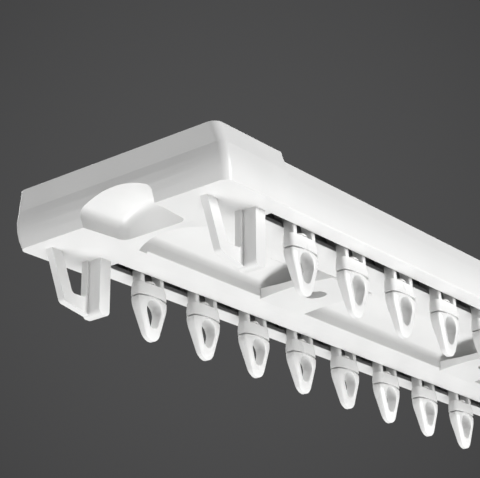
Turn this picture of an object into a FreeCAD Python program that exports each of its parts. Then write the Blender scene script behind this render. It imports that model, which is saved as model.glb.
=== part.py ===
"""Twin-rail ceiling curtain track, seen from below in use.

One hollow extruded profile carries two C-shaped rails and a vaulted channel between them.
A moulded cap closes each end, two clamp plates hold the profile to the ceiling, and rolling
gliders with swivel eyelets hang in the rails.

Millimetres. X runs along the track, Y across it, Z up. The origin is the middle of the
ceiling face, so the whole track lies below z = 0.
"""
import FreeCAD, Part
import math
import os

V = FreeCAD.Vector

# Track as a whole
TRACK_LENGTH = 320.0
RAIL_SPACING = 58.6
SEAT_WIDTH = 44.0
SEAT_STEP = 1.5
ROOF = 1.5
RAIL_WALL = 1.5
LIP = 1.6
SLOT_WIDTH = 4.25
HEADROOM = 2.4
RAIL_CORNER = 2.0

# Vaulted channel between the rails
CHANNEL_WIDTH = 28.0
CHANNEL_DEPTH = 9.0
CHANNEL_SPRING = 4.4
CHANNEL_CORNER = 3.0
VAULT_WALL = 1.5

# Outer sides, shared by the profile and the caps that slide over it
CREASE_DROP = 6.6
TOP_INSET = 1.8
BULGE = 0.7
FOOT_INSET = 0.3

# End caps
CAP_LENGTH = 31.5
CAP_WALL = 1.6
CAP_FLOOR = 0.9
CAP_FIT = 0.12
CAP_CORNER = 3.0
CAP_END_WALL = 3.0
END_LEAN = 0.35
END_FOOT_INSET = 1.3
LOWER_BAND_STRIPS = 4

# Finger scoop in each cap
SCOOP_WIDTH = 27.6
SCOOP_HEIGHT = 8.6
SCOOP_SPRING = 4.9
SCOOP_DEPTH = 18.5
SCOOP_TAPER = 2.0
SCOOP_CORNER = 3.2
SCOOP_BACK_CORNER = 3.0
SCOOP_WALL = 1.3
BRIDGE_LENGTH = 9.0
BRIDGE_RISE = 1.1
BRIDGE_SAG = 4.0

# Hook loop under each rail end
LOOP_FROM_END = 6.6
LOOP_SLANT = 0.38
LOOP_ARM = 4.7
LOOP_DEPTH = 2.4
LOOP_DROP = 14.3
LOOP_HOLE_DROP = 11.2
LOOP_LEG = 1.0
LOOP_CORNER = 1.6
POST_DROP = 16.6
POST_DEPTH = 6.8
POST_WIDTH = 4.7
POST_FROM_EDGE = 2.8
POST_LEAN = 1.6

# Ceiling clamp plates
CLIP_LENGTH = 23.6
CLIP_FROM_END = 102.2
CLIP_FLANGE = 0.9
CLIP_FLANGE_REACH = 0.4
CLIP_FIT = 0.2
CLIP_RISE = 2.8
CLIP_ARCH = 0.9
CLIP_DISH = 0.4
SCREW_HOLE = 7.2

# Gliders
BACK_GLIDERS = 8
FRONT_GLIDERS = 5
FIRST_GLIDER = 50.8
GLIDER_PITCH = 28.0
WHEEL_DIAMETER = 10.0
WHEEL_THICKNESS = 2.7
ROLL_GAP = 0.1
AXLE_DIAMETER = 4.0
AXLE_PROUD = 0.35
AXLE_ROOM = 0.75
RUNNING_FIT = 0.05
SIDE_PLAY = 0.15
BOSS_LENGTH = 6.0
BOSS_DIAMETER = 7.6
NECK_THICKNESS = 3.3
NECK_WIDTH = 11.6
ARM_WIDTH = 2.0
NECK_DROP = 2.65
COLLAR_LENGTH = 14.2
COLLAR_DEPTH = 5.4
COLLAR_HEIGHT = 4.1
COLLAR_BAND = 1.0
COLLAR_CORNER = 2.4

# Swivel eyelet
SHANK_DIAMETER = 3.2
HEAD_DIAMETER = 5.0
HEAD_HEIGHT = 1.8
SWIVEL_GAP = 0.2
EYE_DEPTH = 5.0
EYE_TIP_DEPTH = 1.8
EYE_INSET = 0.1
EYE_SHOULDER_DROP = 1.6
EYE_TIP_RADIUS = 4.1
EYE_LENGTH = 14.0
HOLE_TOP_RADIUS = 3.5
HOLE_TIP_RADIUS = 2.2
HOLE_TOP_LAND = 1.15
HOLE_TIP_LAND = 4.35

# Levels and widths that follow from the sizes above
SHOULDER_Z = -SEAT_STEP
RAIL_TOP_Z = SHOULDER_Z - ROOF
LIP_TOP_Z = RAIL_TOP_Z - HEADROOM - WHEEL_DIAMETER
UNDERSIDE_Z = LIP_TOP_Z - LIP
CAP_BOTTOM_Z = UNDERSIDE_Z - CAP_FLOOR
RAIL_Y = RAIL_SPACING / 2
WHEEL_INNER_Y = BOSS_LENGTH / 2 + SIDE_PLAY
WHEEL_OUTER_Y = WHEEL_INNER_Y + WHEEL_THICKNESS
AXLE_END_Y = WHEEL_OUTER_Y + AXLE_PROUD
RAIL_HALF = AXLE_END_Y + AXLE_ROOM
CREASE_HALF = RAIL_Y + RAIL_HALF + RAIL_WALL + CAP_FIT + CAP_WALL
CREASE_Z = -CREASE_DROP
PROFILE_INSET = SCOOP_DEPTH + SCOOP_WALL
PROFILE_LENGTH = TRACK_LENGTH - 2 * PROFILE_INSET
AXLE_Z = LIP_TOP_Z + ROLL_GAP + WHEEL_DIAMETER / 2
COLLAR_TOP_Z = UNDERSIDE_Z - NECK_DROP
COLLAR_BOTTOM_Z = COLLAR_TOP_Z - COLLAR_HEIGHT
EYE_TOP_Z = COLLAR_BOTTOM_Z - SWIVEL_GAP
EYE_SHOULDER_RADIUS = COLLAR_LENGTH / 2 - EYE_INSET
OVERCUT = 1.0


def prism(points, sweep):
    """Straight-sided solid: a closed polygon swept along a vector."""
    return Part.Face(Part.makePolygon(points + points[:1])).extrude(sweep)


def edges_along(solid, direction):
    """The straight edges of a solid that run parallel to a direction."""
    found = []
    for edge in solid.Edges:
        tangent = edge.tangentAt(edge.FirstParameter)
        if isinstance(edge.Curve, Part.Line) and tangent.cross(direction).Length < 1e-6:
            found.append(edge)
    return found


def side_half_width(z):
    """Half width of the cap's outside at height z: a slanted upper band and a swelling lower one."""
    if z >= CREASE_Z:
        return CREASE_HALF - TOP_INSET * (z - CREASE_Z) / CREASE_DROP
    share = (CREASE_Z - z) / (CREASE_Z - CAP_BOTTOM_Z)
    return CREASE_HALF + 4 * BULGE * share * (1 - share) - FOOT_INSET * share


def body_section(x, inset, top_z, floor_z):
    """Flat-topped cross-section of the track body, a given distance inside the caps' outer sides."""
    middle_z = (CREASE_Z + floor_z) / 2
    edges = []
    ends = []
    for side in (1, -1):
        shoulder = V(x, side * (side_half_width(top_z) - inset), top_z)
        crease = V(x, side * (CREASE_HALF - inset), CREASE_Z)
        middle = V(x, side * (side_half_width(middle_z) - inset), middle_z)
        foot = V(x, side * (side_half_width(floor_z) - inset), floor_z)
        edges += [Part.makeLine(shoulder, crease), Part.Arc(crease, middle, foot).toShape()]
        ends.append((shoulder, foot))
    edges += [Part.makeLine(one, other) for one, other in zip(*ends)]
    return Part.Face(Part.Wire(Part.__sortEdges__(edges)))


def arch_outline(x, half, foot_z, spring_z, crown_z):
    """Closed outline at x: straight sides from the foot up to the spring, then a low arch."""
    arch = Part.Arc(V(x, -half, spring_z), V(x, 0, crown_z), V(x, half, spring_z))
    return Part.Wire([Part.makeLine(V(x, -half, foot_z), V(x, -half, spring_z)), arch.toShape(),
                      Part.makeLine(V(x, half, spring_z), V(x, half, foot_z)),
                      Part.makeLine(V(x, half, foot_z), V(x, -half, foot_z))])


def vault_bar(margin):
    """Bar that fills the channel and the space up to a given distance round it, with rounded springs."""
    outline = arch_outline(-PROFILE_LENGTH / 2, CHANNEL_WIDTH / 2 + margin, UNDERSIDE_Z - OVERCUT,
                           UNDERSIDE_Z + CHANNEL_SPRING + margin, UNDERSIDE_Z + CHANNEL_DEPTH + margin)
    bar = Part.Face(outline).extrude(V(PROFILE_LENGTH, 0, 0))
    spring_edges = [e for e in edges_along(bar, V(1, 0, 0)) if e.CenterOfMass.z > UNDERSIDE_Z]
    return bar.makeFillet(CHANNEL_CORNER + margin, spring_edges)


def track_profile():
    """The hollow extrusion: two slotted rails, a vaulted channel and a chamber over the vault."""
    start = -PROFILE_LENGTH / 2
    along = V(PROFILE_LENGTH, 0, 0)
    body = body_section(start, CAP_WALL + CAP_FIT, SHOULDER_Z, UNDERSIDE_Z).extrude(along)
    seat = Part.makeBox(PROFILE_LENGTH, SEAT_WIDTH, SEAT_STEP, V(start, -SEAT_WIDTH / 2, SHOULDER_Z))
    body = body.fuse(seat)

    chamber_half = RAIL_Y - RAIL_HALF - RAIL_WALL
    chamber = Part.makeBox(PROFILE_LENGTH, 2 * chamber_half, RAIL_TOP_Z - LIP_TOP_Z,
                           V(start, -chamber_half, LIP_TOP_Z))
    cuts = [vault_bar(0), chamber.cut(vault_bar(VAULT_WALL))]

    for side in (1, -1):
        y = side * RAIL_Y
        rail = prism([V(start, y - RAIL_HALF, LIP_TOP_Z), V(start, y + RAIL_HALF, LIP_TOP_Z),
                      V(start, y + RAIL_HALF, RAIL_TOP_Z - RAIL_CORNER),
                      V(start, y + RAIL_HALF - RAIL_CORNER, RAIL_TOP_Z),
                      V(start, y - RAIL_HALF + RAIL_CORNER, RAIL_TOP_Z),
                      V(start, y - RAIL_HALF, RAIL_TOP_Z - RAIL_CORNER)], along)
        slot = Part.makeBox(PROFILE_LENGTH, SLOT_WIDTH, LIP + 2 * OVERCUT,
                            V(start, y - SLOT_WIDTH / 2, UNDERSIDE_Z - OVERCUT))
        cuts += [rail, slot]

    for x in clip_places():
        cuts.append(Part.makeCylinder(SCREW_HOLE / 2, OVERCUT - UNDERSIDE_Z, V(x, 0, UNDERSIDE_Z)))
    for tool in cuts:
        body = body.cut(tool)
    return body.removeSplitter()


def end_setback(z):
    """How far the cap's end face lies behind its top edge at height z."""
    if z >= CREASE_Z:
        return END_LEAN * z / CREASE_Z
    share = (CREASE_Z - z) / (CREASE_Z - CAP_BOTTOM_Z)
    return END_LEAN - 4 * BULGE * share * (1 - share) + END_FOOT_INSET * share


def cap_plan(z):
    """Outline of the cap seen from above at height z, with its outer end at x = 0."""
    half = side_half_width(z)
    end = end_setback(z)
    r = CAP_CORNER
    k = r * (1 - math.sqrt(0.5))
    near_arc = Part.Arc(V(end + r, -half, z), V(end + k, -half + k, z), V(end, -half + r, z))
    far_arc = Part.Arc(V(end, half - r, z), V(end + k, half - k, z), V(end + r, half, z))
    return Part.Wire([Part.makeLine(V(CAP_LENGTH, -half, z), V(end + r, -half, z)), near_arc.toShape(),
                      Part.makeLine(V(end, -half + r, z), V(end, half - r, z)), far_arc.toShape(),
                      Part.makeLine(V(end + r, half, z), V(CAP_LENGTH, half, z)),
                      Part.makeLine(V(CAP_LENGTH, half, z), V(CAP_LENGTH, -half, z))])


def scoop_outline(x, half):
    """Arched outline of the scoop at x."""
    return arch_outline(x, half, CAP_BOTTOM_Z - 2 * OVERCUT, CAP_BOTTOM_Z + SCOOP_SPRING,
                        CAP_BOTTOM_Z + SCOOP_HEIGHT)


def scoop_hollow():
    """The space that a fingertip fills: an arched bar that narrows to a rounded inner end."""
    mouth = scoop_outline(-2 * OVERCUT, SCOOP_WIDTH / 2)
    back = scoop_outline(SCOOP_DEPTH, SCOOP_WIDTH / 2 - SCOOP_TAPER)
    bar = Part.makeLoft([mouth, back], True, True)
    spring_edges = [e for e in bar.Edges
                    if e.BoundBox.XLength > SCOOP_DEPTH and e.BoundBox.ZMin > CAP_BOTTOM_Z]
    bar = bar.makeFillet(SCOOP_CORNER, spring_edges)
    back_edges = [e for e in bar.Edges
                  if e.BoundBox.XMin > SCOOP_DEPTH - 1e-6 and e.BoundBox.ZMax > CAP_BOTTOM_Z]
    return bar.makeFillet(SCOOP_BACK_CORNER, back_edges)


def scoop_shell():
    """Plain block around the scoop, which leaves a wall all round it inside the cap."""
    return Part.makeBox(SCOOP_DEPTH + SCOOP_WALL + OVERCUT, SCOOP_WIDTH + 2 * SCOOP_WALL,
                        SCOOP_HEIGHT + SCOOP_WALL,
                        V(-OVERCUT, -SCOOP_WIDTH / 2 - SCOOP_WALL, CAP_BOTTOM_Z))


def bridge():
    """Arched strip that joins the two halves of the cap's floor behind the scoop."""
    half = SCOOP_WIDTH / 2
    start = SCOOP_DEPTH
    bottom = CAP_BOTTOM_Z
    top = CAP_BOTTOM_Z + CAP_FLOOR - CAP_FIT
    edges = []
    for z in (bottom, top):
        arch = Part.Arc(V(start, -half, z), V(start, 0, z + BRIDGE_RISE), V(start, half, z))
        edges.append(arch.toShape())
    for y in (half, -half):
        edges.append(Part.makeLine(V(start, y, bottom), V(start, y, top)))
    strip = Part.Face(Part.Wire(Part.__sortEdges__(edges))).extrude(V(BRIDGE_LENGTH, 0, 0))
    bite_radius = (half ** 2 + BRIDGE_SAG ** 2) / (2 * BRIDGE_SAG)
    bite_x = start + BRIDGE_LENGTH - BRIDGE_SAG + bite_radius
    return strip.cut(Part.makeCylinder(bite_radius, CHANNEL_DEPTH, V(bite_x, 0, bottom - OVERCUT)))


def hanging_plate(corners, back_y, depth, radius):
    """Plate of an outline given as x and z, with its back face at back_y and its lower corners rounded."""
    plate = prism([V(x, back_y - depth, z) for x, z in corners], V(0, depth, 0))
    low_edges = [e for e in edges_along(plate, V(0, 1, 0)) if e.CenterOfMass.z < plate.BoundBox.Center.z]
    return plate.makeFillet(radius, low_edges)


def hook_loop(y):
    """Slanted bracket and deep post that hang under a rail's end and make a hook eye."""
    back_y = y + POST_DEPTH / 2
    root_z = CAP_BOTTOM_Z + (CAP_FLOOR - CAP_FIT) / 2
    post_foot = CAP_BOTTOM_Z - POST_DROP
    post_back = CAP_LENGTH - POST_FROM_EDGE
    post_front = post_back - POST_WIDTH
    post = hanging_plate([(post_front, root_z), (post_front - POST_LEAN, post_foot),
                          (post_back - POST_LEAN, post_foot), (post_back, root_z)],
                         back_y, POST_DEPTH, LOOP_CORNER)

    arm_foot = LOOP_FROM_END + LOOP_SLANT * LOOP_DROP
    bracket = hanging_plate([(LOOP_FROM_END, root_z), (arm_foot, CAP_BOTTOM_Z - LOOP_DROP),
                             (post_back - POST_LEAN, post_foot), (post_back, root_z)],
                            back_y, LOOP_DEPTH, LOOP_CORNER)
    hole_root = LOOP_FROM_END + LOOP_ARM
    hole_floor = CAP_BOTTOM_Z - LOOP_HOLE_DROP
    leg = post_front - LOOP_LEG
    leg_lean = POST_LEAN * LOOP_HOLE_DROP / POST_DROP
    hole = hanging_plate([(hole_root, CAP_BOTTOM_Z), (hole_root + LOOP_SLANT * LOOP_HOLE_DROP, hole_floor),
                          (leg - leg_lean, hole_floor), (leg, CAP_BOTTOM_Z)],
                         back_y, LOOP_DEPTH, LOOP_CORNER)
    return bracket.cut(hole).fuse(post)


def end_cap():
    """Moulded sleeve with its outer end at x = 0: walls, floor, finger scoop, bridge and hook loops."""
    upper = Part.makeLoft([cap_plan(0), cap_plan(CREASE_Z)], True, True)
    lower_step = (CAP_BOTTOM_Z - CREASE_Z) / LOWER_BAND_STRIPS
    levels = [CREASE_Z + lower_step * i for i in range(LOWER_BAND_STRIPS + 1)]
    outside = upper.fuse(Part.makeLoft([cap_plan(z) for z in levels], True, True))

    inside = body_section(CAP_END_WALL, CAP_WALL, SHOULDER_Z + CAP_FIT, UNDERSIDE_Z - CAP_FIT)
    seat = Part.makeBox(CAP_LENGTH, SEAT_WIDTH + 2 * CAP_FIT, SEAT_STEP + OVERCUT,
                        V(PROFILE_INSET, -SEAT_WIDTH / 2 - CAP_FIT, SHOULDER_Z))
    cap = outside.cut(inside.extrude(V(CAP_LENGTH, 0, 0))).cut(seat)
    cap = cap.fuse(scoop_shell().common(outside))
    cap = cap.cut(scoop_hollow())
    mouth = Part.makeBox(CAP_LENGTH, SCOOP_WIDTH, CAP_FLOOR + OVERCUT,
                         V(SCOOP_DEPTH + SCOOP_WALL, -SCOOP_WIDTH / 2, CAP_BOTTOM_Z - OVERCUT))
    cap = cap.cut(mouth).fuse(bridge())
    for side in (1, -1):
        cap = cap.fuse(hook_loop(side * RAIL_Y))
    return cap.removeSplitter()


def clip_places():
    """Places of the two clamp plates along the track."""
    reach = TRACK_LENGTH / 2 - CLIP_FROM_END
    return (-reach, reach)


def clamp_plate():
    """Low-arched plate that bears up under the channel's two edges, with a dished back and a screw hole."""
    flange_half = CHANNEL_WIDTH / 2 + CLIP_FLANGE_REACH
    start = -CLIP_LENGTH / 2
    bottom = UNDERSIDE_Z - CLIP_FLANGE
    flange = Part.makeBox(CLIP_LENGTH, 2 * flange_half, CLIP_FLANGE, V(start, -flange_half, bottom))
    slab = Part.makeBox(CLIP_LENGTH, 2 * flange_half, CLIP_RISE, V(start, -flange_half, UNDERSIDE_Z))
    block = slab.common(vault_bar(-CLIP_FIT))
    arch_radius = (flange_half ** 2 + CLIP_ARCH ** 2) / (2 * CLIP_ARCH)
    arch_axis = V(start, 0, bottom + CLIP_ARCH - arch_radius)
    arch = Part.makeCylinder(arch_radius, CLIP_LENGTH, arch_axis, V(1, 0, 0))
    dish_half = CHANNEL_WIDTH / 2 - CLIP_FIT - CLIP_RISE
    dish_radius = (dish_half ** 2 + CLIP_DISH ** 2) / (2 * CLIP_DISH)
    dish_axis = V(start, 0, UNDERSIDE_Z + CLIP_RISE - CLIP_DISH + dish_radius)
    dish = Part.makeCylinder(dish_radius, CLIP_LENGTH, dish_axis, V(1, 0, 0))
    hole = Part.makeCylinder(SCREW_HOLE / 2, CHANNEL_DEPTH, V(0, 0, bottom), V(0, 0, 1))
    return flange.fuse(block.cut(dish)).cut(arch).cut(hole).removeSplitter()


def glider_yoke():
    """Axle boss, two arms that pass the slot, and the collar that the eyelet turns in."""
    across = V(0, NECK_THICKNESS, 0)
    front = -NECK_THICKNESS / 2
    half = NECK_WIDTH / 2
    boss_r = BOSS_DIAMETER / 2
    band_z = COLLAR_BOTTOM_Z + COLLAR_BAND
    arms = prism([V(-boss_r, front, AXLE_Z), V(-half, front, LIP_TOP_Z), V(-half, front, band_z),
                  V(half, front, band_z), V(half, front, LIP_TOP_Z), V(boss_r, front, AXLE_Z)], across)
    boss = Part.makeCylinder(boss_r, BOSS_LENGTH, V(0, -BOSS_LENGTH / 2, AXLE_Z), V(0, 1, 0))
    collar = Part.makeBox(COLLAR_LENGTH, COLLAR_DEPTH, COLLAR_HEIGHT,
                          V(-COLLAR_LENGTH / 2, -COLLAR_DEPTH / 2, COLLAR_BOTTOM_Z))
    end_edges = [e for e in edges_along(collar, V(0, 1, 0)) if e.CenterOfMass.z > band_z]
    collar = collar.makeFillet(COLLAR_CORNER, edges_along(collar, V(0, 0, 1)) + end_edges)
    start = -COLLAR_LENGTH / 2
    wide = COLLAR_DEPTH / 2
    slopes = prism([V(start, -wide, COLLAR_BOTTOM_Z), V(start, -wide, band_z), V(start, front, COLLAR_TOP_Z),
                    V(start, -front, COLLAR_TOP_Z), V(start, wide, band_z), V(start, wide, COLLAR_BOTTOM_Z)],
                   V(COLLAR_LENGTH, 0, 0))
    collar = collar.common(slopes)

    window_half = half - ARM_WIDTH
    window_top = AXLE_Z - boss_r - ARM_WIDTH / 4
    window = prism([V(-window_half, -COLLAR_DEPTH, COLLAR_TOP_Z), V(-window_half, -COLLAR_DEPTH, LIP_TOP_Z),
                    V(0, -COLLAR_DEPTH, window_top), V(window_half, -COLLAR_DEPTH, LIP_TOP_Z),
                    V(window_half, -COLLAR_DEPTH, COLLAR_TOP_Z)], V(0, 2 * COLLAR_DEPTH, 0))
    axle_bore = Part.makeCylinder(AXLE_DIAMETER / 2, BOSS_LENGTH,
                                  V(0, -BOSS_LENGTH / 2, AXLE_Z), V(0, 1, 0))
    shank_bore = Part.makeCylinder(SHANK_DIAMETER / 2 + RUNNING_FIT, COLLAR_HEIGHT,
                                   V(0, 0, COLLAR_BOTTOM_Z))
    return arms.fuse(boss).cut(window).fuse(collar).cut(axle_bore).cut(shank_bore).removeSplitter()


def glider_axle():
    """Plain steel pin pressed through the boss, standing a little proud of both wheels."""
    return Part.makeCylinder(AXLE_DIAMETER / 2, 2 * AXLE_END_Y, V(0, -AXLE_END_Y, AXLE_Z), V(0, 1, 0))


def glider_wheels():
    """The pair of wheels that turn on the axle's two ends."""
    centre = V(0, WHEEL_INNER_Y, AXLE_Z)
    tread = Part.makeCylinder(WHEEL_DIAMETER / 2, WHEEL_THICKNESS, centre, V(0, 1, 0))
    bore = Part.makeCylinder(AXLE_DIAMETER / 2 + RUNNING_FIT, WHEEL_THICKNESS, centre, V(0, 1, 0))
    wheel = tread.cut(bore)
    return Part.makeCompound([wheel, wheel.mirror(V(0, 0, 0), V(0, 1, 0))])


def teardrop(y, top_z, top_radius, tip_z, tip_radius):
    """Upright teardrop face: a larger round above, a smaller one below, joined by their tangents."""
    down = (top_radius - tip_radius) / (top_z - tip_z)
    out = math.sqrt(1 - down ** 2)

    def on_round(centre_z, radius, side):
        return V(side * radius * out, y, centre_z - radius * down)

    edges = []
    for z, radius, up in ((top_z, top_radius, 1), (tip_z, tip_radius, -1)):
        arc = Part.Arc(on_round(z, radius, -1), V(0, y, z + up * radius), on_round(z, radius, 1))
        edges.append(arc.toShape())
    for side in (1, -1):
        edges.append(Part.makeLine(on_round(top_z, top_radius, side), on_round(tip_z, tip_radius, side)))
    return Part.Face(Part.Wire(Part.__sortEdges__(edges)))


def glider_eyelet():
    """Swivel eyelet: wedge-shaped ring, shank through the collar, and a head that snaps in above it."""
    front = -EYE_DEPTH / 2
    tip_front = -EYE_TIP_DEPTH / 2
    start = -EYE_SHOULDER_RADIUS
    across = V(0, EYE_DEPTH, 0)
    tip_z = EYE_TOP_Z - EYE_LENGTH
    ring = teardrop(front, EYE_TOP_Z - EYE_SHOULDER_DROP, EYE_SHOULDER_RADIUS,
                    tip_z + EYE_TIP_RADIUS, EYE_TIP_RADIUS).extrude(across)
    wedge = prism([V(start, front, EYE_TOP_Z), V(start, -front, EYE_TOP_Z),
                   V(start, -tip_front, tip_z), V(start, tip_front, tip_z)], V(-2 * start, 0, 0))
    hole = teardrop(front, EYE_TOP_Z - HOLE_TOP_LAND - HOLE_TOP_RADIUS, HOLE_TOP_RADIUS,
                    tip_z + HOLE_TIP_LAND + HOLE_TIP_RADIUS, HOLE_TIP_RADIUS).extrude(across)
    ring = ring.common(wedge).cut(hole)

    head_z = COLLAR_TOP_Z + SWIVEL_GAP
    shank_z = EYE_TOP_Z - HOLE_TOP_LAND / 2
    shank = Part.makeCylinder(SHANK_DIAMETER / 2, head_z - shank_z, V(0, 0, shank_z))
    head = Part.makeCone(HEAD_DIAMETER / 2, SHANK_DIAMETER / 2, HEAD_HEIGHT, V(0, 0, head_z))
    return ring.fuse(shank).fuse(head).removeSplitter()


def glider_places():
    """Name, place along the track and rail of every glider."""
    places = []
    for rail, count, y in (("back", BACK_GLIDERS, RAIL_Y), ("front", FRONT_GLIDERS, -RAIL_Y)):
        for number in range(count):
            x = -TRACK_LENGTH / 2 + FIRST_GLIDER + GLIDER_PITCH * number
            places.append((f"{rail}_glider_{number + 1}", V(x, y, 0)))
    return places


def save(shape, node):
    """Write one piece to its own file."""
    shape.exportStep(f"parts/{node}.step")


os.makedirs("parts", exist_ok=True)

save(track_profile(), "track_profile")

left_cap = end_cap()
left_cap.translate(V(-TRACK_LENGTH / 2, 0, 0))
save(left_cap, "left_end_cap")
save(left_cap.mirror(V(0, 0, 0), V(1, 0, 0)), "right_end_cap")

for side, x in zip(("left", "right"), clip_places()):
    plate = clamp_plate()
    plate.translate(V(x, 0, 0))
    save(plate, f"{side}_clamp_plate")

pieces = {"yoke": glider_yoke(), "axle": glider_axle(), "wheels": glider_wheels(), "eyelet": glider_eyelet()}
for name, place in glider_places():
    for piece, shape in pieces.items():
        placed = shape.copy()
        placed.translate(place)
        save(placed, f"{name}_{piece}")
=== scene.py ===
# %% [markdown]
# A short twin-rail curtain track hangs under a ceiling and is looked at from below.
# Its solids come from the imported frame, in metres, with the ceiling at z = 0, +X along the track and
# +Y towards the back rail. Here it gets its finishes, its light and its softly rounded glider pieces.

# %% Load the fixed frame
import math

import bmesh
import bpy
from mathutils import Matrix, Vector


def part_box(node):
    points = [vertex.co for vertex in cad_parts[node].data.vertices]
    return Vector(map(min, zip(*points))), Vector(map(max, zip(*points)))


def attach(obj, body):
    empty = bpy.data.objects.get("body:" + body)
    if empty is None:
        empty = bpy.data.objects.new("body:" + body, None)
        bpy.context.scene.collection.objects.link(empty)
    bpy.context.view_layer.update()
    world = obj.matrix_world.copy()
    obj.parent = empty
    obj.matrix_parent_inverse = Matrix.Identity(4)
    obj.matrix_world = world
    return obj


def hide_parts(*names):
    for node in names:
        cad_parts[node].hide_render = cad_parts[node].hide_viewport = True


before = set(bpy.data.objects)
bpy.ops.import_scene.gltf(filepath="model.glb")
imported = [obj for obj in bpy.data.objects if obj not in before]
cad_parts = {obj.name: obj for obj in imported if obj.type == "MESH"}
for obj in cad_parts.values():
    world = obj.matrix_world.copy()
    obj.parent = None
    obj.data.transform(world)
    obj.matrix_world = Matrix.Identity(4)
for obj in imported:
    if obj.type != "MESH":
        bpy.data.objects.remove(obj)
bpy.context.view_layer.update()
scene = bpy.context.scene
MM = 0.001

# %% [markdown]
# The picture is taken from under the track's near left corner, looking up along it with a long lens.
# A camera could be aimed with a constraint, but the track isn't in the middle of the picture and the
# horizon leans a little, so the place, the direction and the lean are given as numbers.

# %% Place the camera
CAMERA_PLACE = Vector((-0.5265, -0.3048, -0.2123))
CAMERA_HEADING = math.radians(35.48)
CAMERA_RISE = math.radians(21.20)
CAMERA_LEAN = math.radians(-3.416)
CAMERA_LENS = 134.26
SENSOR_WIDTH = 36
NEAREST_SEEN = 0.01

forward = Vector((math.cos(CAMERA_RISE) * math.cos(CAMERA_HEADING),
                  math.cos(CAMERA_RISE) * math.sin(CAMERA_HEADING),
                  math.sin(CAMERA_RISE)))
level_right = Vector((math.sin(CAMERA_HEADING), -math.cos(CAMERA_HEADING), 0))
level_up = level_right.cross(forward)
right = level_right * math.cos(CAMERA_LEAN) + level_up * math.sin(CAMERA_LEAN)
up = right.cross(forward)
camera_data = bpy.data.cameras.new("photo_camera")
camera_data.lens = CAMERA_LENS
camera_data.sensor_width = SENSOR_WIDTH
camera_data.clip_start = NEAREST_SEEN
camera = bpy.data.objects.new("photo_camera", camera_data)
turn = Matrix((right, up, -forward)).transposed()
camera.matrix_world = Matrix.Translation(CAMERA_PLACE) @ turn.to_4x4()
scene.collection.objects.link(camera)
scene.camera = camera
print("camera at", [round(v, 3) for v in CAMERA_PLACE], "lens", CAMERA_LENS)

# %% [markdown]
# The studio and every finish are small trees of nodes. They could be wired by hand each time, but these
# helpers add a node, feed a socket, do a sum, make a soft step and mix two tones, so that each tree below
# reads as a short recipe.

# %% Helpers for node trees
def add_node(tree, kind, **settings):
    made = tree.nodes.new("ShaderNode" + kind)
    for key, value in settings.items():
        setattr(made, key, value)
    return made


def feed(tree, socket, value):
    if isinstance(value, bpy.types.NodeSocket):
        tree.links.new(value, socket)
    else:
        socket.default_value = value


def sum_of(tree, operation, *values):
    made = add_node(tree, "Math", operation=operation)
    for socket, value in zip(made.inputs, values):
        feed(tree, socket, value)
    return made.outputs[0]


def ramp_of(tree, value, low, high, to_low=0.0, to_high=1.0):
    made = add_node(tree, "MapRange", interpolation_type="SMOOTHSTEP")
    for name, given in (("Value", value), ("From Min", low), ("From Max", high),
                        ("To Min", to_low), ("To Max", to_high)):
        feed(tree, made.inputs[name], given)
    return made.outputs["Result"]


def tint_of(tree, share, first, second):
    made = add_node(tree, "Mix", data_type="RGBA")
    feed(tree, made.inputs["Factor"], share)
    feed(tree, made.inputs["A"], first)
    feed(tree, made.inputs["B"], second)
    return made.outputs["Result"]


print("node helpers ready")

# %% [markdown]
# An even white world fills the shadows. Rays that come straight from the camera, or off or through
# something shiny, see a dark grey studio wall instead. A real backdrop could stand behind the track, but
# it would show its edge from other sides. The wall is a little lighter round the line of sight, as a lit
# backdrop is.

# %% Paint the studio's world
WALL_DARK = (0.060, 0.060, 0.061, 1)
WALL_LIGHT = (0.079, 0.079, 0.080, 1)
WALL_GLOW_EDGE = 0.983
FILL_TONE = (1, 1, 1, 1)
FILL_LEVEL = 0.18

world = bpy.data.worlds.new("studio_world")
scene.world = world
world.use_nodes = True
sky = world.node_tree
sky.nodes.clear()
rays = add_node(sky, "LightPath")
seen = sum_of(sky, "MAXIMUM", rays.outputs["Is Camera Ray"], rays.outputs["Is Glossy Ray"])
seen = sum_of(sky, "MAXIMUM", seen, rays.outputs["Is Transmission Ray"])
facing = add_node(sky, "VectorMath", operation="DOT_PRODUCT")
feed(sky, facing.inputs[0], add_node(sky, "TexCoord").outputs["Generated"])
feed(sky, facing.inputs[1], forward)
glow = add_node(sky, "MapRange")
feed(sky, glow.inputs["Value"], facing.outputs["Value"])
feed(sky, glow.inputs["From Min"], WALL_GLOW_EDGE)
wall = add_node(sky, "Background")
feed(sky, wall.inputs["Color"], tint_of(sky, glow.outputs["Result"], WALL_DARK, WALL_LIGHT))
fill = add_node(sky, "Background")
feed(sky, fill.inputs["Color"], FILL_TONE)
feed(sky, fill.inputs["Strength"], FILL_LEVEL)
choose = add_node(sky, "MixShader")
for socket, given in zip(choose.inputs, (seen, fill.outputs[0], wall.outputs[0])):
    feed(sky, socket, given)
feed(sky, add_node(sky, "OutputWorld").inputs["Surface"], choose.outputs[0])
print("world", world.name, "fill", FILL_LEVEL)

# %% [markdown]
# The light is plain and soft. One big lamp could give it, but then every side would have the same tone.
# A broad lamp low under the near corner washes the underside. A smaller one stands before the near side,
# high enough for the near rail to shade the channel's far wall. Weaker light reaches the end, and one lamp
# behind lights the back and the top, for looks from other sides.

# %% Hang the lamps
TRACK_MIDDLE = (0.0, 0.0, -0.02)
LEFT_END = (-0.15, 0.0, -0.02)


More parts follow.
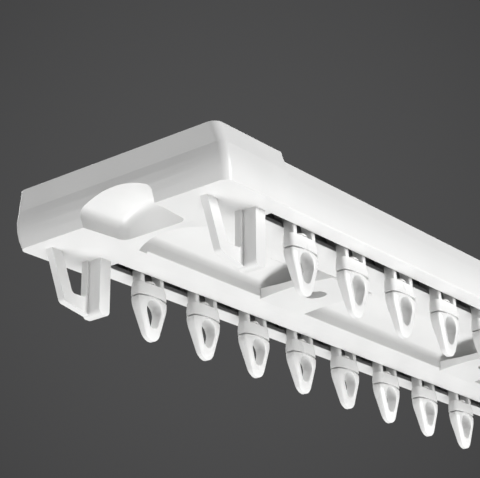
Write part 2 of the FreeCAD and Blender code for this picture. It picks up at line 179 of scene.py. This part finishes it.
def add_lamp(name, place, aim, size, watts):
    lamp = bpy.data.lights.new(name, "AREA")
    lamp.size = size
    lamp.energy = watts
    holder = bpy.data.objects.new(name, lamp)
    holder.location = place
    holder.rotation_euler = (Vector(aim) - Vector(place)).to_track_quat("-Z", "Y").to_euler()
    scene.collection.objects.link(holder)
    print("lamp", name, watts, "W")


add_lamp("under_lamp", (-0.15, -0.08, -1.25), TRACK_MIDDLE, size=0.8, watts=14.2)
add_lamp("near_lamp", (0.20, -1.25, 0.14), TRACK_MIDDLE, size=0.4, watts=13.8)
add_lamp("end_lamp", (-1.10, 0.20, 0.00), LEFT_END, size=0.7, watts=3)
add_lamp("back_lamp", (0.30, 0.90, 0.90), TRACK_MIDDLE, size=0.8, watts=14)
scene.view_settings.view_transform = "Standard"

# %% [markdown]
# Moulded plastic and a sprayed coat both have a skin that is almost, but not quite, even: broad faint
# clouds in the tone and a very fine grain. Each finish could hold its own noise, but one node group gives
# both to all of them, and each finish sets its own sizes.

# %% Build the shared skin group
skin = bpy.data.node_groups.new("fine_skin", "ShaderNodeTree")
for name, kind in (("Place", "NodeSocketVector"), ("Cloud Scale", "NodeSocketFloat"),
                   ("Grain Scale", "NodeSocketFloat")):
    skin.interface.new_socket(name=name, in_out="INPUT", socket_type=kind)
for name in ("Cloud", "Grain"):
    skin.interface.new_socket(name=name, in_out="OUTPUT", socket_type="NodeSocketFloat")
skin_in = skin.nodes.new("NodeGroupInput")
skin_out = skin.nodes.new("NodeGroupOutput")
for name, detail in (("Cloud", 4.0), ("Grain", 2.0)):
    noise = add_node(skin, "TexNoise")
    feed(skin, noise.inputs["Detail"], detail)
    feed(skin, noise.inputs["Vector"], skin_in.outputs["Place"])
    feed(skin, noise.inputs["Scale"], skin_in.outputs[name + " Scale"])
    feed(skin, skin_out.inputs[name], noise.outputs[0])
print("group", skin.name)

# %% [markdown]
# A finish starts from the Principled shader and the place on the piece. It takes the skin's clouds and
# grain, and a bump that turns a height into a faint unevenness. The place could come from the world, but
# every piece sits at the origin, so with Object coordinates the pattern stays put when a piece moves.

# %% Helpers for finishes
def new_finish(name):
    finish = bpy.data.materials.new(name)
    finish.use_nodes = True
    tree = finish.node_tree
    place = add_node(tree, "TexCoord").outputs["Object"]
    return finish, tree, tree.nodes["Principled BSDF"], place


def add_skin(tree, place, cloud_scale, grain_scale):
    made = add_node(tree, "Group", node_tree=skin)
    feed(tree, made.inputs["Place"], place)
    feed(tree, made.inputs["Cloud Scale"], cloud_scale)
    feed(tree, made.inputs["Grain Scale"], grain_scale)
    return made.outputs["Cloud"], made.outputs["Grain"]


def add_bump(tree, shader, height, strength, distance):
    bump = add_node(tree, "Bump")
    feed(tree, bump.inputs["Strength"], strength)
    feed(tree, bump.inputs["Distance"], distance)
    feed(tree, bump.inputs["Height"], height)
    feed(tree, shader.inputs["Normal"], bump.outputs["Normal"])


print("finish helpers ready")

# %% [markdown]
# The track is an extrusion with a sprayed satin coat, and the die leaves faint lines along its length.
# They could be painted in a picture, but noise that is stretched along the track gives them at any size.

# %% Draw the track's die lines
DIE_LINES = (3, 700, 700)
LINE_DETAIL = 3.0

coat, tree, shader, place = new_finish("track_coat")
along = add_node(tree, "Mapping")
feed(tree, along.inputs["Scale"], DIE_LINES)
feed(tree, along.inputs["Vector"], place)
lines = add_node(tree, "TexNoise")
feed(tree, lines.inputs["Scale"], 1.0)
feed(tree, lines.inputs["Detail"], LINE_DETAIL)
feed(tree, lines.inputs["Vector"], along.outputs["Vector"])
lined = lines.outputs[0]
print("die lines at scale", DIE_LINES)

# %% [markdown]
# The rails' insides lie in shade, so a darker, lined grey is painted on them there as painted shade.
# They could be given a material of their own face by face, but a mask made from the height and the
# distance to each rail's middle finds them on any mesh of the profile. Each pair below is where a soft
# step starts and ends.

# %% Mask the rails' insides for painted shade
RAIL_Y = 29.3 * MM
RAIL_HALF = (7.0 * MM, 7.3 * MM)
RAIL_FLOOR = (-15.6 * MM, -15.2 * MM)
RAIL_ROOF = (-2.9 * MM, -2.6 * MM)
SLOT_HALF = (2.2 * MM, 2.3 * MM)
SLOT_MOUTH = (-16.9 * MM, -16.7 * MM)
FALLING = {"to_low": 1.0, "to_high": 0.0}

axes = add_node(tree, "SeparateXYZ")
feed(tree, axes.inputs[0], place)
height = axes.outputs["Z"]
from_middle = sum_of(tree, "ABSOLUTE", axes.outputs["Y"])
from_rail = sum_of(tree, "ABSOLUTE", sum_of(tree, "SUBTRACT", from_middle, RAIL_Y))
in_rail = sum_of(tree, "MULTIPLY", ramp_of(tree, from_rail, *RAIL_HALF, **FALLING),
                 ramp_of(tree, height, *RAIL_FLOOR))
in_slot = sum_of(tree, "MULTIPLY", ramp_of(tree, from_rail, *SLOT_HALF, **FALLING),
                 ramp_of(tree, height, *SLOT_MOUTH))
# The mask marks the rails' insides, where shade is painted into the coat.
shaded_inside = sum_of(tree, "MULTIPLY", ramp_of(tree, height, *RAIL_ROOF, **FALLING),
                sum_of(tree, "MAXIMUM", in_rail, in_slot))
print("mask about the rails, each", round(RAIL_Y, 4), "m from the middle")

# %% [markdown]
# The coat is white with faint clouds, and the rails' insides take a lined grey as painted shade. Two
# materials could meet at an edge of the mesh, but one material that mixes both tones by the mask needs
# no edge there. The lines also vary the gloss, and together with the grain they give a faint relief.

# %% Coat the track
NOISE_SPAN = (0.3, 0.7)
COAT_TONES = ((0.79, 0.79, 0.785, 1), (0.85, 0.85, 0.845, 1))
# Painted shade: these greys stand in for the shade inside the rails.
RAIL_SHADE_TONES = ((0.28, 0.28, 0.282, 1), (0.40, 0.40, 0.402, 1))
LINE_SHARE = 0.8
GRAIN_SHARE = 0.2

cloud, grain = add_skin(tree, place, cloud_scale=40.0, grain_scale=1800.0)
white = tint_of(tree, cloud, *COAT_TONES)
# The painted shade of the rails' insides, lined like the coat.
painted_rail_shade = tint_of(tree, lined, *RAIL_SHADE_TONES)
feed(tree, shader.inputs["Base Color"], tint_of(tree, shaded_inside, white, painted_rail_shade))
feed(tree, shader.inputs["Roughness"], ramp_of(tree, lined, *NOISE_SPAN, to_low=0.36, to_high=0.46))
relief = sum_of(tree, "ADD", sum_of(tree, "MULTIPLY", lined, LINE_SHARE),
                sum_of(tree, "MULTIPLY", grain, GRAIN_SHARE))
add_bump(tree, shader, relief, strength=0.12, distance=0.0002)
print("finish", coat.name)

# %% [markdown]
# Caps and clamp plates are injection mouldings in a satin white, a touch softer than the coat. A plain
# colour would look like paper, so the clouds vary the tone and the gloss together, and the grain is fine.

# %% Finish the mouldings
MOULDING_TONES = ((0.78, 0.78, 0.775, 1), (0.84, 0.84, 0.835, 1))

moulding, tree, shader, place = new_finish("satin_moulding")
cloud, grain = add_skin(tree, place, cloud_scale=55.0, grain_scale=1500.0)
feed(tree, shader.inputs["Base Color"], tint_of(tree, cloud, *MOULDING_TONES))
feed(tree, shader.inputs["Roughness"], ramp_of(tree, cloud, *NOISE_SPAN, to_low=0.34, to_high=0.44))
add_bump(tree, shader, grain, strength=0.10, distance=0.00015)
print("finish", moulding.name)

# %% [markdown]
# Gliders are small polished mouldings, glossier than the caps. They could share the caps' finish, but
# smaller clouds, a finer grain and a lower roughness suit small pieces that slide in the rail.

# %% Finish the gliders
GLIDER_TONES = ((0.80, 0.80, 0.795, 1), (0.86, 0.86, 0.855, 1))

polish, tree, shader, place = new_finish("glider_moulding")
cloud, grain = add_skin(tree, place, cloud_scale=130.0, grain_scale=2600.0)
feed(tree, shader.inputs["Base Color"], tint_of(tree, cloud, *GLIDER_TONES))
feed(tree, shader.inputs["Roughness"], ramp_of(tree, cloud, *NOISE_SPAN, to_low=0.26, to_high=0.36))
add_bump(tree, shader, grain, strength=0.08, distance=0.0001)
print("finish", polish.name)

# %% [markdown]
# A wheel's white is painted darker, as painted shade for its place deep in the rail, and its face has fine
# rings from its mould. Rings could be drawn about each axle in turn. The gliders are spaced evenly, so the
# distance to the nearest axle follows from the place along the track by a remainder instead, and one
# finish serves every wheel.

# %% Finish the wheels
GLIDER_PITCH = 28 * MM
FIRST_GLIDER = -109.2 * MM
AXLE_Z = -10.3 * MM
# Painted shade: the wheels' tones are darker than the gliders' white, for the shade deep in the rails.
WHEEL_SHADE_TONES = ((0.62, 0.62, 0.61, 1), (0.70, 0.70, 0.69, 1))


def axle_rings(tree, place, closeness):
    axes = add_node(tree, "SeparateXYZ")
    feed(tree, axes.inputs[0], place)
    shifted = sum_of(tree, "SUBTRACT", axes.outputs["X"], FIRST_GLIDER - GLIDER_PITCH / 2)
    remainder = sum_of(tree, "FLOORED_MODULO", shifted, GLIDER_PITCH)
    nearest = sum_of(tree, "SUBTRACT", remainder, GLIDER_PITCH / 2)
    rise = sum_of(tree, "SUBTRACT", axes.outputs["Z"], AXLE_Z)
    square = sum_of(tree, "ADD", sum_of(tree, "MULTIPLY", nearest, nearest),
                    sum_of(tree, "MULTIPLY", rise, rise))
    return sum_of(tree, "SINE", sum_of(tree, "MULTIPLY", sum_of(tree, "SQRT", square), closeness))


wheel_finish, tree, shader, place = new_finish("wheel_moulding")
cloud, grain = add_skin(tree, place, cloud_scale=160.0, grain_scale=2200.0)
feed(tree, shader.inputs["Base Color"], tint_of(tree, cloud, *WHEEL_SHADE_TONES))
feed(tree, shader.inputs["Roughness"], ramp_of(tree, grain, *NOISE_SPAN, to_low=0.42, to_high=0.55))
add_bump(tree, shader, axle_rings(tree, place, closeness=16000.0), strength=0.06, distance=0.0001)
print("finish", wheel_finish.name)

# %% [markdown]
# The axles are steel pins whose turned ends have closer rings. A flat grey could pass at this size, but a
# metal whose gloss varies still looks like steel when a glider is seen from near by.

# %% Finish the axles
STEEL_TONES = ((0.50, 0.50, 0.51, 1), (0.62, 0.62, 0.63, 1))

steel, tree, shader, place = new_finish("axle_steel")
cloud, grain = add_skin(tree, place, cloud_scale=300.0, grain_scale=3000.0)
feed(tree, shader.inputs["Base Color"], tint_of(tree, cloud, *STEEL_TONES))
shader.inputs["Metallic"].default_value = 1.0
feed(tree, shader.inputs["Roughness"], ramp_of(tree, grain, *NOISE_SPAN, to_low=0.24, to_high=0.38))
add_bump(tree, shader, axle_rings(tree, place, closeness=30000.0), strength=0.08, distance=0.00005)
print("finish", steel.name)

# %% [markdown]
# Each solid of the frame keeps its shape and takes the finish of its kind. A table could list every name,
# but the names tell the kind, so one small function chooses, and the copies made later ask it again.

# %% Dress the solids
def finish_for(node):
    if node == "track_profile":
        return coat
    if node.endswith("_wheels"):
        return wheel_finish
    if node.endswith("_axle"):
        return steel
    if node.endswith(("_yoke", "_eyelet")):
        return polish
    return moulding


for node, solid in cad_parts.items():
    solid.data.materials.clear()
    solid.data.materials.append(finish_for(node))
print("dressed", len(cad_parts), "solids")

# %% [markdown]
# The floor of the studio is matt pale paper with a faint mottle. It lies well under the camera, out of
# the picture, and throws a little pale light up. A plane would do, but a wide disc has no corner that
# could show from another side.

# %% Lay the floor
FLOOR_TONES = ((0.70, 0.70, 0.69, 1), (0.76, 0.76, 0.75, 1))
FLOOR_DROP = 1.60
FLOOR_RADIUS = 6.0
FLOOR_POINTS = 96


def new_piece(mesh, name, finish):
    data = bpy.data.meshes.new(name)
    mesh.to_mesh(data)
    mesh.free()
    data.materials.append(finish)
    made = bpy.data.objects.new(name, data)
    scene.collection.objects.link(made)
    return made


paper, tree, shader, place = new_finish("pale_floor")
mottle = add_skin(tree, place, cloud_scale=6.0, grain_scale=400.0)[0]
feed(tree, shader.inputs["Base Color"], tint_of(tree, mottle, *FLOOR_TONES))
shader.inputs["Roughness"].default_value = 0.9

disc = bmesh.new()
bmesh.ops.create_circle(disc, cap_ends=True, segments=FLOOR_POINTS, radius=FLOOR_RADIUS)
bmesh.ops.translate(disc, verts=disc.verts, vec=(0, 0, -FLOOR_DROP))
floor = new_piece(disc, "studio_floor", paper)
print("floor at", -FLOOR_DROP)

# %% [markdown]
# The gliders' mouldings are rounder than their solids. An edge is picked by how sharply its two faces
# meet and is then rounded by a bevel. A Bevel modifier could do that too, but here each part of a piece
# has a rounding of its own.

# %% Helpers for edges
def edges_of(verts):
    return list({edge for vert in verts for edge in vert.link_edges})


def sharp_among(edges, degrees):
    return [edge for edge in edges if edge.calc_face_angle() > math.radians(degrees)]


def round_edges(mesh, edges, width, steps):
    bmesh.ops.bevel(mesh, geom=edges, offset=width, offset_type="OFFSET", segments=steps, profile=0.5,
                    affect="EDGES", clamp_overlap=True, material=-1)


print("edge helpers ready")

# %% [markdown]
# Three more steps come again and again: a round bar is added, a face is drawn out, and two forms are put
# into one mesh. Booleans could weld the forms, but in plain white plastic an overlap looks the same and
# keeps the faces clean.

# %% Helpers for forms
def whole(mesh):
    return mesh.verts[:] + mesh.edges[:] + mesh.faces[:]


def add_bar(mesh, segments, radius, depth, middle, top_radius=None, lying=False):
    place = Matrix.Translation(middle)
    if lying:
        place = place @ Matrix.Rotation(math.radians(90), 4, "X")
    return bmesh.ops.create_cone(mesh, cap_ends=True, segments=segments, radius1=radius,
                                 radius2=radius if top_radius is None else top_radius,
                                 depth=depth, matrix=place)["verts"]


def draw_out(mesh, faces):
    drawn = bmesh.ops.extrude_face_region(mesh, geom=faces)["geom"]
    bmesh.ops.delete(mesh, geom=faces, context="FACES_ONLY")
    return [item for item in drawn if isinstance(item, bmesh.types.BMVert)]


def join_into(mesh, added):
    carried = bpy.data.meshes.new("carried")
    added.to_mesh(carried)
    added.free()
    mesh.from_mesh(carried)
    bpy.data.meshes.remove(carried)


print("form helpers ready")

# %% [markdown]
# Each kind of glider piece is shaped once, about the middle of a glider. The gliders' places could be
# typed in, but they are read from the axles' solids, so that they can't differ from the frame.

# %% Find the gliders
glider_names = [node[:-len("_yoke")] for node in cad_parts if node.endswith("_yoke")]


def glider_middle(name):
    low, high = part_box(name + "_axle")
    return (Vector(low) + Vector(high)) / 2 - Vector((0, 0, AXLE_Z))


print("gliders", len(glider_names))

# %% [markdown]
# A finished shape is copied to every glider with its place in the mesh. Linked copies would save memory,
# but a finished piece sits at the origin here. A copy stands for the solid of the same name and rides on
# the same body, so it slides and turns as the solid would.

# %% Helpers for copies
GLIDER_SMOOTH_LIMIT = math.radians(35)


def shade_smooth(mesh, limit):
    for face in mesh.faces:
        face.smooth = True
    for edge in mesh.edges:
        edge.smooth = edge.is_manifold and edge.calc_face_angle() < limit


def stand_for(made, node, body):
    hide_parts(node)
    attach(made, body)


def hang_copies(mesh, piece, body):
    bmesh.ops.recalc_face_normals(mesh, faces=mesh.faces)
    shade_smooth(mesh, GLIDER_SMOOTH_LIMIT)
    for name in glider_names:
        node = f"{name}_{piece}"
        placed = mesh.copy()
        bmesh.ops.translate(placed, verts=placed.verts, vec=glider_middle(name))
        made = new_piece(placed, node + "_look", finish_for(node))
        stand_for(made, node, f"{name}_{body}")
    print(piece, "copies", len(glider_names), "with", len(mesh.faces), "faces each")
    mesh.free()


print("copy helpers ready")

# %% [markdown]
# The eyelet is a tapered ring: wide and thick under the collar, narrow and thin at the tip. It could be
# cut from a wedge and bevelled, but its top is so slim that the bevels would meet. Instead closed loops
# are laid round the rim. Each is a circle whose lower part is drawn in and moved down, and whose upper
# part is made squarer towards the outside. The pairs below are a measure at the hole and at the outside.

# %% Draw a loop of the eyelet's rim
LOOP_POINTS = 56
HOLE_TO_OUTSIDE = {"top_radius": (3.5 * MM, 7.0 * MM), "tip_radius": (2.2 * MM, 3.9 * MM),
                   "top_z": (-28.15 * MM, -25.4 * MM), "tip_z": (-31.85 * MM, -34.05 * MM)}
EYE_TOP = -23.80 * MM
HOLE_TOP = -24.65 * MM
CROWN_GAIN = 1.6
SHOULDER_SQUARENESS = 0.7


def rim_loop(mesh, share, y):
    top_radius, tip_radius, top_z, tip_z = [
        at_hole + (at_outside - at_hole) * share for at_hole, at_outside in HOLE_TO_OUTSIDE.values()]
    crown = HOLE_TOP + (EYE_TOP - HOLE_TOP) * min(1, CROWN_GAIN * share) - top_z
    drawn_in = (top_radius - tip_radius) / (top_z - tip_z)
    upright = Matrix.Rotation(math.radians(90), 4, "X")
    verts = bmesh.ops.create_circle(mesh, segments=LOOP_POINTS, radius=top_radius, matrix=upright)["verts"]
    lower = [vert for vert in verts if vert.co.z < -top_radius * drawn_in]
    upper = [vert for vert in verts if vert.co.z > 0]
    bmesh.ops.scale(mesh, verts=lower, vec=Vector((1, 1, 1)) * tip_radius / top_radius)
    bmesh.ops.translate(mesh, verts=lower, vec=(0, 0, tip_z - top_z))
    for vert in upper:
        vert.co.z = crown * min(1, vert.co.z / top_radius) ** (1 - SHOULDER_SQUARENESS * share)
    bmesh.ops.translate(mesh, verts=verts, vec=(0, y, top_z))
    return edges_of(verts)


print("loops of", LOOP_POINTS, "points")

# %% [markdown]
# The loops follow the rim's section, a list of pairs: the share of the way from the hole to the outside,
# and of the half depth. It is crisp at the hole, flat for half the way and then falls back. A section
# could be swept along a curve, but bridging loop to loop lets the rim's width change on the way round.
# Last, the ring is thinned towards the tip.

# %% Bridge the eyelet's ring
RIM_SECTION = ((0, 0), (0, 0.80), (0.03, 0.94), (0.10, 1), (0.46, 1), (0.53, 0.98), (0.60, 0.93),
               (0.84, 0.76), (0.95, 0.68), (1, 0.56), (1, 0))
EYE_DEPTH = 5.0 * MM
EYE_TIP = -37.95 * MM
TIP_SHARE = 0.48

eyelet = bmesh.new()
loops = []
for share, depth in RIM_SECTION:
    loops.append(rim_loop(eyelet, share, depth * EYE_DEPTH / 2))
for share, depth in RIM_SECTION[-2:0:-1]:
    loops.append(rim_loop(eyelet, share, -depth * EYE_DEPTH / 2))
for step, loop in enumerate(loops):
    bmesh.ops.bridge_loops(eyelet, edges=loop + loops[step - 1])
for vert in eyelet.verts:
    vert.co.y *= 1 - (1 - TIP_SHARE) * (EYE_TOP - vert.co.z) / (EYE_TOP - EYE_TIP)
print("ring of", len(loops), "loops")

# %% [markdown]
# A slit head on a short shank snaps through the collar and turns there. The slit could be cut from a full
# cone with a boolean. Cutting the cone off beside its middle and mirroring what is left gives the same two
# halves with clean faces.

# %% Add the eyelet's snap head
HEAD_POINTS = 32
SHANK_RADIUS = 1.6 * MM
SHANK_FOOT = -24.6 * MM
HEAD_RADIUS = 2.5 * MM
HEAD_BASE = -19.45 * MM
HEAD_RISE = 1.2 * MM
HEAD_SLIT = 0.7 * MM
HEAD_ROUND = 0.3 * MM
CUT_TOLERANCE = 1e-7

head = bmesh.new()
add_bar(head, HEAD_POINTS, HEAD_RADIUS, HEAD_RISE, (0, 0, HEAD_BASE + HEAD_RISE / 2),
        top_radius=SHANK_RADIUS)
round_edges(head, sharp_among(head.edges, degrees=30), HEAD_ROUND, steps=2)
cut = bmesh.ops.bisect_plane(head, geom=whole(head), dist=CUT_TOLERANCE, plane_co=(0, HEAD_SLIT / 2, 0),
                             plane_no=(0, 1, 0), clear_inner=True)["geom_cut"]
bmesh.ops.holes_fill(head, edges=[item for item in cut if isinstance(item, bmesh.types.BMEdge)])
bmesh.ops.mirror(head, geom=whole(head), axis="Y", merge_dist=0)
add_bar(head, HEAD_POINTS, SHANK_RADIUS, HEAD_BASE - SHANK_FOOT, (0, 0, (HEAD_BASE + SHANK_FOOT) / 2))
join_into(eyelet, head)
hang_copies(eyelet, "eyelet", "swivel")

# %% [markdown]
# The yoke holds the wheels' pin in a round boss, and two arms come down from it through the slot. An arm
# could follow a curve, but a cube whose top is drawn out sideways has the same knee and stays light. One
# arm is shaped and mirrored, and the boss runs into both, as in the mould.

# %% Shape the yoke's arms and boss
ARM_OUTER = 5.8 * MM
ARM_INNER = 3.8 * MM
ARM_DEPTH = 3.8 * MM
ARM_FOOT = -20.6 * MM
ARM_KNEE = -15.2 * MM
ARM_TOP = -11.2 * MM
ARM_SHIFT = 2.7 * MM
ARM_ROUND = 0.5 * MM
BOSS_POINTS = 48
BOSS_RADIUS = 3.8 * MM
BOSS_LENGTH = 6.0 * MM
BOSS_ROUND = 0.4 * MM
NEARLY = 0.1 * MM

yoke = bmesh.new()
arm_size = Vector((ARM_OUTER - ARM_INNER, ARM_DEPTH, ARM_KNEE - ARM_FOOT))
arm_middle = Vector(((ARM_OUTER + ARM_INNER) / 2, 0, (ARM_KNEE + ARM_FOOT) / 2))
bmesh.ops.create_cube(yoke, size=1,
                      matrix=Matrix.Translation(arm_middle) @ Matrix.Diagonal(arm_size).to_4x4())
knee = [face for face in yoke.faces if face.calc_center_median().z > ARM_KNEE - NEARLY]
bmesh.ops.translate(yoke, verts=draw_out(yoke, knee), vec=(-ARM_SHIFT, 0, ARM_TOP - ARM_KNEE))
round_edges(yoke, yoke.edges[:], ARM_ROUND, steps=3)
bmesh.ops.mirror(yoke, geom=whole(yoke), axis="X", merge_dist=0)
boss = add_bar(yoke, BOSS_POINTS, BOSS_RADIUS, BOSS_LENGTH, (0, 0, AXLE_Z), lying=True)
round_edges(yoke, sharp_among(edges_of(boss), degrees=60), BOSS_ROUND, steps=2)
print("arms and boss with", len(yoke.faces), "faces")

# %% [markdown]
# The arms end in a long collar, a squarish oval whose sides slope out to a low band. It could be a
# rounded box, but its ends are fuller than that, so a round bar is pressed outwards towards a square
# plan, stretched to size, and its roof is drawn up and in.

# %% Add the yoke's collar
COLLAR_POINTS = 64
COLLAR_SIZE = Vector((14.2, 5.3, 4.14)) * MM
COLLAR_TOP = -19.65 * MM
COLLAR_BAND = 1.4 * MM
COLLAR_SQUARENESS = 0.55
COLLAR_TOP_SHARE = 0.96
COLLAR_TOP_SLOPE = 0.86
COLLAR_ROUND = 0.12 * MM

collar = bmesh.new()
band = add_bar(collar, COLLAR_POINTS, radius=1, depth=COLLAR_BAND, middle=(0, 0, 0))
for vert in band:
    vert.co.x = math.copysign(abs(vert.co.x) ** COLLAR_SQUARENESS, vert.co.x)
    vert.co.y = math.copysign(abs(vert.co.y) ** COLLAR_SQUARENESS, vert.co.y)
bmesh.ops.scale(collar, verts=band, vec=(COLLAR_SIZE.x / 2, COLLAR_SIZE.y / 2, 1))
bmesh.ops.translate(collar, verts=band, vec=(0, 0, COLLAR_TOP - COLLAR_SIZE.z + COLLAR_BAND / 2))
roof = max(collar.faces, key=lambda face: face.calc_center_median().z)
raised = draw_out(collar, [roof])
bmesh.ops.translate(collar, verts=raised, vec=(0, 0, COLLAR_SIZE.z - COLLAR_BAND))
bmesh.ops.scale(collar, verts=raised, vec=(COLLAR_TOP_SHARE, COLLAR_TOP_SLOPE, 1))
bmesh.ops.recalc_face_normals(collar, faces=collar.faces)
top_edges = [edge for edge in sharp_among(collar.edges, degrees=40)
             if edge.verts[0].co.z > COLLAR_TOP - COLLAR_BAND]
round_edges(collar, top_edges, COLLAR_ROUND, steps=2)
join_into(yoke, collar)
hang_copies(yoke, "yoke", "carriage")

# %% [markdown]
# A wheel is a disc with a rounded tread, a dished outer face and a low hub. A lathe profile could be spun,
# but a disc whose face is inset and pushed, step by step, follows the same order as the mould maker's
# drawing. Each pair below is one step: how far in, and how far out or back.

# %% Shape the wheels
WHEEL_POINTS = 56
WHEEL_RADIUS = 5.0 * MM
WHEEL_INNER = 3.15 * MM
WHEEL_WIDTH = 2.7 * MM
TREAD_ROUND = 0.45 * MM
FACE_STEPS = ((0.5 * MM, 0), (0.5 * MM, -0.5 * MM), (1.0 * MM, 0), (0.3 * MM, 0.3 * MM))

wheels = bmesh.new()
add_bar(wheels, WHEEL_POINTS, WHEEL_RADIUS, WHEEL_WIDTH, (0, WHEEL_INNER + WHEEL_WIDTH / 2, AXLE_Z),
        lying=True)
round_edges(wheels, sharp_among(wheels.edges, degrees=60), TREAD_ROUND, steps=3)
outer_face = max(wheels.faces, key=lambda face: face.calc_center_median().y)
for inset, push in FACE_STEPS:
    bmesh.ops.inset_region(wheels, faces=[outer_face], thickness=inset, use_even_offset=True)
    bmesh.ops.translate(wheels, verts=outer_face.verts, vec=(0, push, 0))
bmesh.ops.mirror(wheels, geom=whole(wheels), axis="Y", merge_dist=0)
hang_copies(wheels, "wheels", "wheelset")

# %% [markdown]
# The caps, the plates, the track and the axles keep the shape of their solids, and their swelling sides
# run smoothly. Those could be built again with more faces, but shading is enough: a copy has its loose
# corners merged and is shaded smooth up to a limit of angle. Only the long crease in the sides stays
# sharp. The caps' hook loops are stretched, to hang a little lower.

# %% Helper for smooth copies
SMOOTH_LIMIT = math.radians(28)
MERGE_GAP = 0.07 * MM
CREASE_HEIGHT = -6.6 * MM
CREASE_TOLERANCE = 1e-6
LOOP_ROOT = -18.0 * MM
LOOP_STRETCH = 1.105


def on_crease(edge):
    return all(abs(vert.co.z - CREASE_HEIGHT) < CREASE_TOLERANCE for vert in edge.verts)


def smooth_copy(node):
    merged = bmesh.new()
    merged.from_mesh(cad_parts[node].data)
    bmesh.ops.remove_doubles(merged, verts=merged.verts, dist=MERGE_GAP)
    if node.endswith("_end_cap"):
        hanging = [vert for vert in merged.verts if vert.co.z < LOOP_ROOT]
        bmesh.ops.scale(merged, verts=hanging, vec=(1, 1, LOOP_STRETCH),
                        space=Matrix.Translation((0, 0, -LOOP_ROOT)))
    shade_smooth(merged, SMOOTH_LIMIT)
    for edge in merged.edges:
        edge.smooth = edge.smooth and not on_crease(edge)
    return new_piece(merged, node + "_look", finish_for(node))


print("smooth copy helper ready")

# %% [markdown]
# Mouldings and extrusions have no knife edges, so each copy gets a very small rounding that catches the
# light. The edges could be rounded in the mesh, but a Bevel modifier finds them by their angle. On the
# plates and the track, weighted normals let the broad flat faces keep their own direction.

# %% Soften the edges
ROUNDING_LIMIT = math.radians(38)
ROUNDING_STEPS = 3
CAP_ROUNDING = 0.40 * MM
PLATE_ROUNDING = 0.16 * MM
TRACK_ROUNDING = 0.20 * MM
PIN_ROUNDING = 0.25 * MM


def soften(node, body, width, flat=False):
    made = smooth_copy(node)
    rounding = made.modifiers.new("rounding", "BEVEL")
    rounding.width = width
    rounding.segments = ROUNDING_STEPS
    rounding.limit_method = "ANGLE"
    rounding.angle_limit = ROUNDING_LIMIT
    if flat:
        made.modifiers.new("flat_faces", "WEIGHTED_NORMAL").keep_sharp = True
    stand_for(made, node, body)


for side in ("left", "right"):
    soften(f"{side}_end_cap", "track", CAP_ROUNDING)
    soften(f"{side}_clamp_plate", "track", PLATE_ROUNDING, flat=True)
soften("track_profile", "track", TRACK_ROUNDING, flat=True)
for name in glider_names:
    soften(f"{name}_axle", f"{name}_carriage", PIN_ROUNDING)
